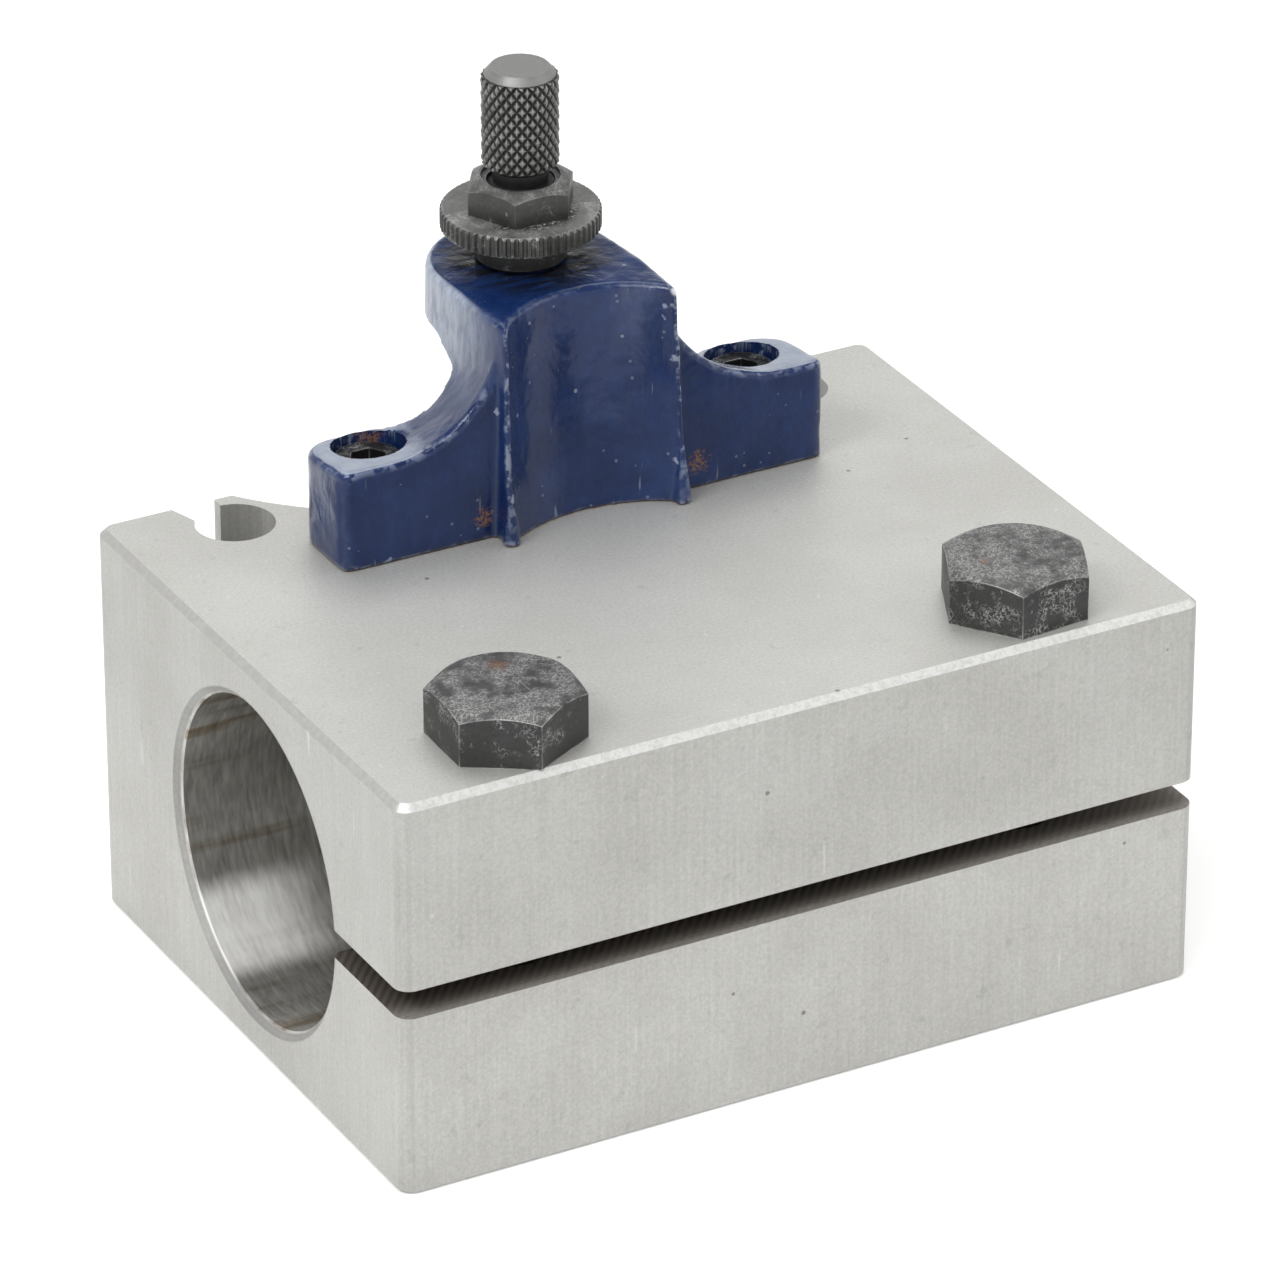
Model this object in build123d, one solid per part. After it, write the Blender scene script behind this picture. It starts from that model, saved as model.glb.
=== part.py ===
from build123d import *
from math import cos, radians, sin, sqrt, tan
import os

# Split-clamp boring bar holder for a round, toothed quick-change tool post.
# Millimetres. The origin is the centre of the block's underside, +X runs along
# the bore, +Y points back at the tool post and +Z is up.

# Block
block_length = 104.0
block_width = 78.0
block_height = 50.0
corner_radius = 2.0
top_chamfer = 0.8
bottom_chamfer = 0.4

# Bore for the boring bar and the saw cut that lets the jaws close on it
bore_diameter = 40.0
bore_to_front = 37.3
bore_height = 24.7
bore_mouth_chamfer = 0.9
slot_gap = 3.5

# Toothed recess that seats on the tool post
post_axis_to_back = 23.9
recess_radius = 42.4
tooth_pitch_deg = 9.0
tooth_count = 8
tooth_height = 1.8
tooth_root_width = 4.6
tooth_crest_width = 1.4

# Hook notches that the claws of the tool post pull on
pocket_x = 37.2
pocket_to_back = 7.3
pocket_radius = 4.8
throat_inner_x = 36.8
throat_outer_x = 41.1
flare_depth = 4.6
flare_width = 1.4
hook_nose_radius = 1.2

# Clamp bolts, hexagon head M10
clamp_bolt_to_end = 19.0
clamp_bolt_shift = -0.5
clamp_bolt_to_front = 9.7
clamp_bolt_diameter = 10.0
clamp_bolt_length = 40.0
clamp_bolt_end_chamfer = 1.0
clamp_head_flats = 16.0
clamp_head_height = 6.4
clamp_crown_diameter = 15.2
clamp_hole_diameter = 11.0
clamp_hole_chamfer = 0.6
left_bolt_turn_deg = 28.0
right_bolt_turn_deg = 5.0

# Bracket cast to carry the height screw: its column and nose
column_height = 27.4
column_front_to_back = 28.4
column_half_width = 11.9
column_belly = 0.45
hollow_depth = 4.2
column_lean = 1.6
hollow_lean = 1.6
side_draft = 0.6
nose_thickness = 7.0
nose_radius = 11.6
nose_centre_to_screw = 0.8
post_clearance = 0.7
throat_fillet = 9.3
cast_edge_flat = 0.5

# The bracket's lugs, which sweep up into the column more at the front than at the back
ear_half_span = 32.0
ear_front_to_back = 25.3
ear_back_to_back = 12.8
ear_height = 12.7
ear_back_height = 11.3
ear_root_x = 11.2
left_sweep_radius = 14.7
left_sweep_run = 14.6
right_sweep_radius = 18.0
right_sweep_run = 16.1
back_sweep_radius = 10.7
back_sweep_run = 10.6
ear_front_corner_radius = 1.6
ear_back_corner_radius = 4.6

# Bracket screws, socket head M5
bracket_screw_x = 24.8
bracket_screw_to_back = 17.6
bracket_screw_diameter = 5.0
bracket_screw_length = 16.0
bracket_screw_end_chamfer = 0.5
bracket_screw_hole = 5.5
socket_head_diameter = 8.5
socket_head_height = 5.0
socket_head_chamfer = 0.4
socket_flats = 4.0
socket_depth = 2.5
counterbore_diameter = 9.1
counterbore_depth = 7.5
tapped_depth_spare = 3.0

# Height screw with its knurled head
height_screw_x = -0.4
height_screw_to_back = 9.7
height_screw_diameter = 8.0
screw_foot_below_nose = 10.0
foot_diameter = 5.6
foot_length = 2.0
screw_head_diameter = 9.2
screw_head_height = 12.6
screw_head_chamfer = 0.9
screw_head_lower_chamfer = 0.45
neck_diameter = 6.6
head_gap = 1.2

# Knurled nut and lock nut on the height screw
hub_diameter = 10.9
hub_height = 3.7
disc_diameter = 19.0
disc_thickness = 2.6
flute_count = 60
flute_depth = 0.35
lock_nut_flats = 11.7
lock_nut_height = 4.0
lock_nut_crown_diameter = 10.0
lock_nut_turn_deg = 57.0
lock_nut_recess_diameter = 9.4
lock_nut_recess_depth = 0.5

# Fits
thread_clearance = 0.05
hex_chamfer_deg = 30.0

# Places that follow from the sizes above
front_y = -block_width / 2
back_y = block_width / 2
bore_radius = bore_diameter / 2
bore_y = front_y + bore_to_front
post_axis_y = back_y + post_axis_to_back
pocket_y = back_y - pocket_to_back
clamp_bolt_x = block_length / 2 - clamp_bolt_to_end
clamp_bolt_y = front_y + clamp_bolt_to_front
column_front_y = back_y - column_front_to_back
ear_front_y = back_y - ear_front_to_back
ear_back_y = back_y - ear_back_to_back
bracket_screw_y = back_y - bracket_screw_to_back
height_screw_y = back_y - height_screw_to_back
bracket_top = block_height + column_height
nose_underside = bracket_top - nose_thickness
ear_top = block_height + ear_height
screw_seat = ear_top - counterbore_depth
disc_underside = bracket_top + hub_height
lock_nut_seat = disc_underside + disc_thickness
lock_nut_top = lock_nut_seat + lock_nut_height
screw_head_base = lock_nut_top + head_gap


def mirrored(shape):
    """The shape together with its mirror image across the plane X = 0."""
    return shape + mirror(shape, Plane.YZ)


def upright_cylinder(x, y, radius, low, high):
    """Vertical cylinder between two heights."""
    disc = Plane.XY.offset(low) * Pos(x, y) * Circle(radius)
    return extrude(disc, high - low)


def edges_near(shape, test):
    """The edges whose middle point passes a test."""
    return [edge for edge in shape.edges() if test(edge.center())]


def hexagon_prism(flats, height, turn_deg):
    """Hexagon across flats, standing on Z = 0."""
    outline = Rot(0, 0, turn_deg) * RegularPolygon(flats / 2, 6, major_radius=False)
    return extrude(outline, height)


def crowned_hexagon(flats, height, crown_diameter, turn_deg):
    """Hexagon whose top corners are turned off to a cone, as on bolt heads and nuts."""
    corner = flats / sqrt(3)
    crown = crown_diameter / 2
    drop = (corner - crown) * tan(radians(hex_chamfer_deg))
    profile = Polyline(
        (0, 0), (corner, 0), (corner, height - drop), (crown, height), (0, height), close=True
    )
    envelope = revolve(Plane.XZ * make_face(profile), Axis.Z)
    return hexagon_prism(flats, height, turn_deg) & envelope


def recess_tool():
    """Everything behind the toothed arc: a cylinder with the teeth left out of it."""
    tool = upright_cylinder(0, post_axis_y, recess_radius, 0, block_height)
    root = tooth_root_width / 2
    tip = tooth_crest_width / 2
    root_y = -sqrt(recess_radius**2 - root**2)
    tooth_outline = Polyline(
        (-root, -recess_radius - tooth_height),
        (-root, root_y),
        (-tip, -recess_radius + tooth_height),
        (tip, -recess_radius + tooth_height),
        (root, root_y),
        (root, -recess_radius - tooth_height),
        close=True,
    )
    tooth = extrude(make_face(tooth_outline), block_height)
    for index in range(tooth_count):
        turn = (index - (tooth_count - 1) / 2) * tooth_pitch_deg
        tool -= Pos(0, post_axis_y, 0) * Rot(0, 0, turn) * tooth
    return tool


def hook_notch():
    """Round pocket with a narrower flared throat, open to the back, on the +X side."""
    pocket = upright_cylinder(pocket_x, pocket_y, pocket_radius, 0, block_height)
    outline = Polyline(
        (throat_inner_x, pocket_y),
        (throat_outer_x, pocket_y),
        (throat_outer_x, back_y - flare_depth),
        (throat_outer_x + flare_width, back_y),
        (throat_inner_x, back_y),
        close=True,
    )
    return pocket + extrude(make_face(outline), block_height)


def jaw_holes(side):
    """Clearance hole through the upper jaw and tapped hole through the lower one."""
    x = side * clamp_bolt_x + clamp_bolt_shift
    thread = clamp_bolt_diameter / 2 + thread_clearance
    upper = upright_cylinder(x, clamp_bolt_y, clamp_hole_diameter / 2, bore_height, block_height)
    lower = upright_cylinder(x, clamp_bolt_y, thread, 0, bore_height)
    mouth = Pos(x, clamp_bolt_y, clamp_hole_chamfer / 2) * Cone(
        thread + clamp_hole_chamfer, thread, clamp_hole_chamfer
    )
    return upper + lower + mouth


def bore_tool():
    """Through bore along X with a chamfer at each mouth."""
    half = block_length / 2
    wide = bore_radius + bore_mouth_chamfer
    outline = Polyline(
        (-half, 0),
        (-half, wide),
        (-half + bore_mouth_chamfer, bore_radius),
        (half - bore_mouth_chamfer, bore_radius),
        (half, wide),
        (half, 0),
        close=True,
    )
    return Pos(0, bore_y, bore_height) * revolve(make_face(outline), Axis.X)


def holder_block():
    """Steel block: split bore, toothed recess, hook notches and bolt holes."""
    block = Pos(0, 0, block_height / 2) * Box(block_length, block_width, block_height)
    block = fillet(block.edges().filter_by(Axis.Z), corner_radius)
    block = chamfer(block.edges().group_by(Axis.Z)[-1], top_chamfer)
    block = chamfer(block.edges().group_by(Axis.Z)[0], bottom_chamfer)
    block -= recess_tool()
    block -= mirrored(hook_notch())
    uprights = block.edges().filter_by(Axis.Z)
    noses = uprights.filter_by(
        lambda edge: abs(edge.center().Y - back_y) < 0.01
        and abs(abs(edge.center().X) - throat_inner_x) < 0.01
    )
    block = fillet(noses, hook_nose_radius)
    block -= bore_tool()
    slot = Box(block_length, bore_to_front, slot_gap)
    block -= Pos(0, front_y + bore_to_front / 2, bore_height) * slot
    block -= jaw_holes(-1) + jaw_holes(1)
    tapped = bracket_screw_diameter / 2 + thread_clearance
    tapped_floor = screw_seat - bracket_screw_length - tapped_depth_spare
    block -= mirrored(
        upright_cylinder(bracket_screw_x, bracket_screw_y, tapped, tapped_floor, block_height)
    )
    return block


def column_section(level, face_y, half_width, hollow, radius):
    """Plan outline of the bracket's column: hollow front, bellied sides, round nose."""
    nose_y = height_screw_y - nose_centre_to_screw
    right = height_screw_x + radius
    left = height_screw_x - radius
    belly_y = (face_y + nose_y) / 2
    outline = [
        ThreePointArc((-half_width, face_y), (0, face_y + hollow), (half_width, face_y)),
        ThreePointArc(
            (half_width, face_y),
            ((half_width + right) / 2 + column_belly, belly_y),
            (right, nose_y),
        ),
        ThreePointArc((right, nose_y), (height_screw_x, nose_y + radius), (left, nose_y)),
        ThreePointArc(
            (left, nose_y),
            ((left - half_width) / 2 - column_belly, belly_y),
            (-half_width, face_y),
        ),
    ]
    return Plane.XY.offset(level) * make_face(Curve() + outline)


def column():
    """Leaning column and nose, lofted from its foot to its top face."""
    foot = column_section(
        block_height,
        column_front_y,
        column_half_width,
        hollow_depth,
        nose_radius + side_draft,
    )
    head = column_section(
        bracket_top,
        column_front_y + column_lean,
        column_half_width - side_draft,
        hollow_depth + hollow_lean,
        nose_radius,
    )
    return loft([foot, head], ruled=True)


def ear_section(y, height, sweep_radius, sweep_run):
    """Front view of the +X lug at one depth: flat top, then an arc up to the column."""
    top = block_height + height
    rise = sweep_radius - sqrt(sweep_radius**2 - sweep_run**2)
    start = (ear_root_x + sweep_run, top)
    end = (ear_root_x, top + rise)
    outline = [
        Line((ear_root_x, block_height), (ear_half_span, block_height)),
        Line((ear_half_span, block_height), (ear_half_span, top)),
        Line((ear_half_span, top), start),
        RadiusArc(start, end, sweep_radius),
        Line(end, (ear_root_x, block_height)),
    ]
    return Plane.XZ.offset(-y) * make_face(Curve() + outline)


def ear_plan():
    """The +X lug seen from above with its outer corners rounded, as a prism."""
    outline = Polyline(
        (ear_root_x, ear_front_y),
        (ear_half_span, ear_front_y),
        (ear_half_span, ear_back_y),
        (ear_root_x, ear_back_y),
        close=True,
    )
    plan = Plane.XY.offset(block_height) * make_face(outline)
    plan = fillet(plan.vertices().group_by(Axis.X)[-1].sort_by(Axis.Y)[0], ear_front_corner_radius)
    plan = fillet(plan.vertices().group_by(Axis.X)[-1].sort_by(Axis.Y)[-1], ear_back_corner_radius)
    return extrude(plan, column_height)


def ear(front_radius, front_run):
    """Foot lug on the +X side, lofted from its front face to its back face."""
    front = ear_section(ear_front_y, ear_height, front_radius, front_run)
    back = ear_section(ear_back_y, ear_back_height, back_sweep_radius, back_sweep_run)
    lug = loft([front, back], ruled=True) & ear_plan()
    front_rim = edges_near(lug, lambda c: abs(c.Y - ear_front_y) < 0.01 and c.Z > ear_top - 0.01)
    return chamfer(front_rim, cast_edge_flat)


def post_clearance_tool():
    """Room for the tool post under the nose, turned about the post's axis."""
    wall = recess_radius + post_clearance
    below = block_height - throat_fillet
    outline = [
        Line((0, below), (wall, below)),
        Line((wall, below), (wall, nose_underside - throat_fillet)),
        RadiusArc(
            (wall, nose_underside - throat_fillet),
            (wall - throat_fillet, nose_underside),
            -throat_fillet,
        ),
        Line((wall - throat_fillet, nose_underside), (0, nose_underside)),
        Line((0, nose_underside), (0, below)),
    ]
    return Pos(0, post_axis_y, 0) * revolve(Plane.XZ * make_face(Curve() + outline), Axis.Z)


def height_bracket():
    """Casting with two lugs, a hollow-fronted column and a nose over the tool post."""
    body = column()
    body = chamfer(body.edges().group_by(Axis.Z)[-1], cast_edge_flat)
    rim_underside = bracket_top - 2 * cast_edge_flat
    ridges = edges_near(body, lambda c: c.Y < ear_front_y and block_height < c.Z < rim_underside)
    body = chamfer(ridges, cast_edge_flat)
    left_ear = mirror(ear(left_sweep_radius, left_sweep_run), Plane.YZ)
    bracket = body + ear(right_sweep_radius, right_sweep_run) + left_ear
    bracket -= post_clearance_tool()
    bore = upright_cylinder(
        bracket_screw_x, bracket_screw_y, bracket_screw_hole / 2, block_height, screw_seat
    )
    counterbore = upright_cylinder(
        bracket_screw_x, bracket_screw_y, counterbore_diameter / 2, screw_seat, bracket_top
    )
    bracket -= mirrored(bore + counterbore)
    thread = height_screw_diameter / 2 + thread_clearance
    bracket -= upright_cylinder(height_screw_x, height_screw_y, thread, block_height, bracket_top)
    return bracket


def clamp_bolt(side, turn_deg):
    """Hexagon bolt that pulls the upper jaw down onto the lower one."""
    x = side * clamp_bolt_x + clamp_bolt_shift
    end = block_height - clamp_bolt_length
    head = crowned_hexagon(clamp_head_flats, clamp_head_height, clamp_crown_diameter, turn_deg)
    shank = upright_cylinder(0, 0, clamp_bolt_diameter / 2, end, block_height)
    shank = chamfer(shank.edges().group_by(Axis.Z)[0], clamp_bolt_end_chamfer)
    return Pos(x, clamp_bolt_y, 0) * (Pos(0, 0, block_height) * head + shank)


def bracket_screw(side):
    """Socket head screw sunk in a lug of the bracket."""
    head_top = screw_seat + socket_head_height
    end = screw_seat - bracket_screw_length
    head = upright_cylinder(0, 0, socket_head_diameter / 2, screw_seat, head_top)
    head = chamfer(head.edges().group_by(Axis.Z)[-1], socket_head_chamfer)
    shank = upright_cylinder(0, 0, bracket_screw_diameter / 2, end, screw_seat)
    shank = chamfer(shank.edges().group_by(Axis.Z)[0], bracket_screw_end_chamfer)
    socket = Pos(0, 0, head_top - socket_depth) * hexagon_prism(socket_flats, socket_depth, 0)
    return Pos(side * bracket_screw_x, bracket_screw_y, 0) * (head + shank - socket)


def height_screw():
    """Screw that rests on the tool post, with a knurled head to turn it by."""
    foot = nose_underside - screw_foot_below_nose
    thread = height_screw_diameter / 2
    neck = neck_diameter / 2
    tip = foot_diameter / 2
    head = screw_head_diameter / 2
    top = screw_head_base + screw_head_height
    foot_shoulder = foot + foot_length
    neck_shoulder = lock_nut_top - lock_nut_recess_depth
    outline = Polyline(
        (0, foot),
        (tip, foot),
        (tip, foot_shoulder),
        (thread, foot_shoulder + thread - tip),
        (thread, neck_shoulder),
        (neck, neck_shoulder + thread - neck),
        (neck, screw_head_base),
        (head - screw_head_lower_chamfer, screw_head_base),
        (head, screw_head_base + screw_head_lower_chamfer),
        (head, top - screw_head_chamfer),
        (head - screw_head_chamfer, top),
        (0, top),
        close=True,
    )
    turned = revolve(Plane.XZ * make_face(outline), Axis.Z)
    return Pos(height_screw_x, height_screw_y, 0) * turned


def knurled_nut():
    """Thin fluted disc on a round hub, turned down onto the bracket."""
    hub = upright_cylinder(0, 0, hub_diameter / 2, bracket_top, disc_underside)
    points = []
    for index in range(2 * flute_count):
        radius = disc_diameter / 2 - flute_depth * (index % 2)
        turn = radians(index * 180 / flute_count)
        points.append((radius * cos(turn), radius * sin(turn)))
    disc = extrude(make_face(Polyline(*points, close=True)), disc_thickness)
    thread = height_screw_diameter / 2 + thread_clearance
    hole = upright_cylinder(0, 0, thread, bracket_top, lock_nut_seat)
    nut = hub + Pos(0, 0, disc_underside) * disc - hole
    return Pos(height_screw_x, height_screw_y, 0) * nut


def lock_nut():
    """Thin hexagon nut that jams on the knurled nut."""
    nut = crowned_hexagon(
        lock_nut_flats, lock_nut_height, lock_nut_crown_diameter, lock_nut_turn_deg
    )
    thread = height_screw_diameter / 2 + thread_clearance
    nut -= upright_cylinder(0, 0, thread, 0, lock_nut_height)
    nut -= upright_cylinder(
        0, 0, lock_nut_recess_diameter / 2, lock_nut_height - lock_nut_recess_depth, lock_nut_height
    )
    return Pos(height_screw_x, height_screw_y, lock_nut_seat) * nut


nodes = {
    "holder_block": holder_block(),
    "height_bracket": height_bracket(),
    "bracket_screw_left": bracket_screw(-1),
    "bracket_screw_right": bracket_screw(1),
    "clamp_bolt_left": clamp_bolt(-1, left_bolt_turn_deg),
    "clamp_bolt_right": clamp_bolt(1, right_bolt_turn_deg),
    "height_screw": height_screw(),
    "knurled_nut": knurled_nut(),
    "lock_nut": lock_nut(),
}

os.makedirs("parts", exist_ok=True)
for name, shape in nodes.items():
    export_step(shape, "parts/" + name + ".step")
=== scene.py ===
import bpy
from math import pi, radians, sqrt, tan
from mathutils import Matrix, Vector


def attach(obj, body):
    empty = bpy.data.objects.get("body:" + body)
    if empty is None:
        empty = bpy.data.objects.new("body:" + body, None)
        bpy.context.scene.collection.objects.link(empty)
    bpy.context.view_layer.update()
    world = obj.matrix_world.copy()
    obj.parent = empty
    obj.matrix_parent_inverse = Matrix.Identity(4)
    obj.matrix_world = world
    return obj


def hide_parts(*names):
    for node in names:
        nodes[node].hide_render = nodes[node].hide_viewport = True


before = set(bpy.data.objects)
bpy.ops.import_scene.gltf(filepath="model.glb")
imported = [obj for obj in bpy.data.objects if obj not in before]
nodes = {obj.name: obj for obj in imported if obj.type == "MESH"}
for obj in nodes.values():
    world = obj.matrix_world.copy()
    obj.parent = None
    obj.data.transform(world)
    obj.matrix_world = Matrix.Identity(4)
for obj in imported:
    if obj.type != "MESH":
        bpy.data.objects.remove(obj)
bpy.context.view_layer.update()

mm = 0.001
bpy.ops.object.select_all(action="DESELECT")


# The stand: a camera held above and to the left of the part, on a white sweep of
# paper that shows nothing but the part's own shadow.
lens_place = Vector((-0.41291, -0.75586, 0.49672))
looks_at = Vector((0.012722, 0.024867, 0.024951))
focal_length = 235.3
paper_white = (0.86, 0.86, 0.855, 1)
paper_lift = 0.2
bpy.ops.object.camera_add(location=lens_place)
camera = bpy.context.object
camera.name = "photo_camera"
camera.rotation_euler = (looks_at - lens_place).to_track_quat("-Z", "Y").to_euler()
camera.data.lens = focal_length
camera.data.sensor_width = 36.0
camera.data.clip_start = 0.05
camera.data.clip_end = 30.0
bpy.context.scene.camera = camera
bpy.context.scene.view_settings.view_transform = "Standard"


def new_material(name):
    """A node material with an empty tree."""
    material = bpy.data.materials.new(name)
    material.use_nodes = True
    material.node_tree.nodes.clear()
    return material, material.node_tree


def add(tree, kind, inputs=None, **settings):
    """Adds a node and fills its inputs with numbers, colours or other nodes' outputs."""
    made = tree.nodes.new(kind)
    for key, value in settings.items():
        setattr(made, key, value)
    for key, value in (inputs or {}).items():
        if isinstance(value, bpy.types.NodeSocket):
            tree.links.new(value, made.inputs[key])
        else:
            made.inputs[key].default_value = value
    return made


def maths(tree, operation, *values):
    """One sum on numbers."""
    return add(tree, "ShaderNodeMath", dict(enumerate(values)), operation=operation).outputs[0]


def plus(tree, first, second):
    """The two numbers added."""
    return maths(tree, "ADD", first, second)


def less(tree, first, second):
    """The first number with the second taken from it."""
    return maths(tree, "SUBTRACT", first, second)


def times(tree, first, second):
    """The two numbers multiplied."""
    return maths(tree, "MULTIPLY", first, second)


def most(tree, first, second):
    """The larger of two numbers."""
    return maths(tree, "MAXIMUM", first, second)


paper, tree = new_material("white_paper")
rays = add(tree, "ShaderNodeLightPath")
lift = times(tree, rays.outputs["Is Camera Ray"], paper_lift)
matt = add(tree, "ShaderNodeBsdfDiffuse", {"Color": paper_white})
glow = add(tree, "ShaderNodeEmission", {"Strength": lift})
both = add(tree, "ShaderNodeAddShader", {0: matt.outputs[0], 1: glow.outputs[0]})
add(tree, "ShaderNodeOutputMaterial", {"Surface": both.outputs[0]})
bpy.ops.mesh.primitive_plane_add(size=6.0, location=(0, 0, 0))
floor = bpy.context.object
floor.name = "paper_sweep"
floor.data.materials.append(paper)

# The paper curves up behind the part, so low rays meet white and high ones a grey
# ceiling, which is what keeps the tops of glossy things dark.
paper_ends = 0.28
ceiling_starts = 0.46
ceiling_level = 0.3
tent_level = 0.5
world = bpy.data.worlds.new("light_tent")
bpy.context.scene.world = world
world.use_nodes = True
tree = world.node_tree
tree.nodes.clear()
rays = add(tree, "ShaderNodeLightPath")
heading = add(tree, "ShaderNodeTexCoord").outputs["Generated"]
height = add(tree, "ShaderNodeSeparateXYZ", {0: heading}).outputs["Z"]
sky_steps = {
    "Value": height,
    "From Min": paper_ends,
    "From Max": ceiling_starts,
    "To Min": 1.0,
    "To Max": ceiling_level,
}
sky = add(tree, "ShaderNodeMapRange", sky_steps, interpolation_type="SMOOTHSTEP").outputs[0]
clear = most(tree, rays.outputs["Is Glossy Ray"], rays.outputs["Is Transmission Ray"])
mirrored = times(tree, sky, clear)
spread = times(tree, less(tree, 1.0, clear), tent_level)
level = plus(tree, mirrored, spread)
level = most(tree, level, rays.outputs["Is Camera Ray"])
tent = add(tree, "ShaderNodeBackground", {"Color": (1, 1, 1, 1), "Strength": level})
add(tree, "ShaderNodeOutputWorld", {"Surface": tent.outputs[0]})

for name, place, watts, side in (
    ("key_softbox", (-0.6, -0.7, 1.6), 11.0, 1.0),
    ("fill_softbox", (1.1, -0.6, 0.9), 3.5, 0.8),
    ("top_softbox", (0.2, 0.5, 1.4), 7.5, 1.0),
    ("left_softbox", (-0.8, -0.2, 0.92), 5.0, 0.35),
):
    bpy.ops.object.light_add(type="AREA", location=place)
    lamp = bpy.context.object
    lamp.name = name
    lamp.data.shape = "SQUARE"
    lamp.data.size = side
    lamp.data.energy = watts
    lamp.rotation_euler = (-Vector(place)).to_track_quat("-Z", "Y").to_euler()


# The block: one piece of tool steel, its outside ground, its bore turned and the cut
# between the jaws sawn. It is bare metal, oiled, with small pits and brown stains.
block_top = 50.0 * mm
block_end_x = 52.0 * mm
bore_y = -1.7 * mm
bore_z = 24.7 * mm
bore_radius = 20.0 * mm
mouth_chamfer = 0.95 * mm
cut_half = 1.75 * mm
# Heights between which the painted shade on the sides grows.
bounce_shade_low = 12 * mm
bounce_shade_high = 38 * mm
# Where the painted highlight in the bore begins and where it is full.
bore_highlight_from_x = 33 * mm
bore_highlight_full_x = 44 * mm
steel_pale = (0.605, 0.602, 0.575, 1)
steel_dull = (0.55, 0.545, 0.517, 1)
# White for the pale dents and for the chamfers' painted highlight; the dull grey is the chamfers' painted
# shade.
worn_and_highlight_white = (0.78, 0.78, 0.765, 1)
chamfer_shade_grey = (0.46, 0.455, 0.44, 1)
bore_highlight_white = (0.95, 0.95, 0.94, 1)
pit_colour = (0.14, 0.12, 0.10, 1)
oil_and_shade_brown = (0.10, 0.082, 0.066, 1)
open_brown = (0.42, 0.395, 0.36, 1)
stain_brown = (0.30, 0.235, 0.165, 1)


def rise(tree, value, low, high):
    """0 below the low value, 1 above the high one, smooth between; falls if low is higher."""
    ends = {"Value": value, "From Min": low, "From Max": high}
    return add(tree, "ShaderNodeMapRange", ends, interpolation_type="SMOOTHSTEP").outputs[0]


def scaled(tree, value, low, high):
    """Spreads 0 to 1 over a new span."""
    ends = {"Value": value, "To Min": low, "To Max": high}
    return add(tree, "ShaderNodeMapRange", ends).outputs[0]


def distance(tree, first, second):
    """How far a point lies from an axis, from its two offsets."""
    return maths(tree, "SQRT", plus(tree, times(tree, first, first), times(tree, second, second)))


def noise(tree, vector, scale, detail=2.0, roughness=0.5):
    """Cloudy noise from 0 to 1, scale in cells per metre."""
    inputs = {"Vector": vector, "Scale": scale, "Detail": detail, "Roughness": roughness}
    return add(tree, "ShaderNodeTexNoise", inputs).outputs[0]


def rings(tree, reach, scale, detail):
    """Noise that changes only with the distance from an axis, as a lathe leaves it."""
    along = add(tree, "ShaderNodeCombineXYZ", {0: reach}).outputs[0]
    return noise(tree, along, scale, detail)


def stretched(tree, vector, scale, turn=(0, 0, 0)):
    """The same place with each axis scaled, for grain that runs one way."""
    inputs = {"Vector": vector, "Scale": scale, "Rotation": turn}
    return add(tree, "ShaderNodeMapping", inputs).outputs[0]


def blend(tree, factor, first, second, mode="MIX"):
    """Mixes two colours."""
    inputs = {0: factor, 6: first, 7: second}
    return add(tree, "ShaderNodeMix", inputs, data_type="RGBA", blend_type=mode).outputs[2]


def tinted(tree, colour, level):
    """A colour made lighter or darker by a level round 1."""
    grey = add(tree, "ShaderNodeCombineColor", {0: level, 1: level, 2: level}).outputs[0]
    return blend(tree, 1.0, colour, grey, "MULTIPLY")


def darkened(tree, colour, amount, most_dark):
    """A colour that loses up to a share of its light where the amount is 1."""
    return tinted(tree, colour, less(tree, 1.0, times(tree, amount, most_dark)))


def flecks(tree, vector, scale, size, share):
    """Round spots in a few of the cells of a grid: 1 inside a spot, 0 elsewhere."""
    cells = add(tree, "ShaderNodeTexVoronoi", {"Vector": vector, "Scale": scale})
    chosen = add(tree, "ShaderNodeSeparateColor", {0: cells.outputs["Color"]}).outputs[0]
    spot = rise(tree, cells.outputs["Distance"], size, size * 0.6)
    return times(tree, spot, rise(tree, chosen, 1 - share, 1 - share * 0.8))


def near(tree, vector, centre, radius, ragged=0.5):
    """A ragged patch round one place, both in millimetres: 1 at its middle."""
    ends = {0: vector, 1: Vector(centre) * mm}
    offset = add(tree, "ShaderNodeVectorMath", ends, operation="DISTANCE").outputs["Value"]
    edge = scaled(tree, noise(tree, vector, 2500 / radius, 3.0), 1 - ragged, 1 + ragged)
    return rise(tree, times(tree, offset, edge), radius * mm, radius * 0.45 * mm)


def finish_material(tree, inputs):
    """Gives a tree its shader, with the inputs that the finish needs."""
    shader = add(tree, "ShaderNodeBsdfPrincipled", inputs)
    add(tree, "ShaderNodeOutputMaterial", {"Surface": shader.outputs[0]})


steel, tree = new_material("ground_steel")
coords = add(tree, "ShaderNodeTexCoord")
here = coords.outputs["Object"]
x, y, z = add(tree, "ShaderNodeSeparateXYZ", {0: here}).outputs
facing = add(tree, "ShaderNodeSeparateXYZ", {0: coords.outputs["Normal"]}).outputs

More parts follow.
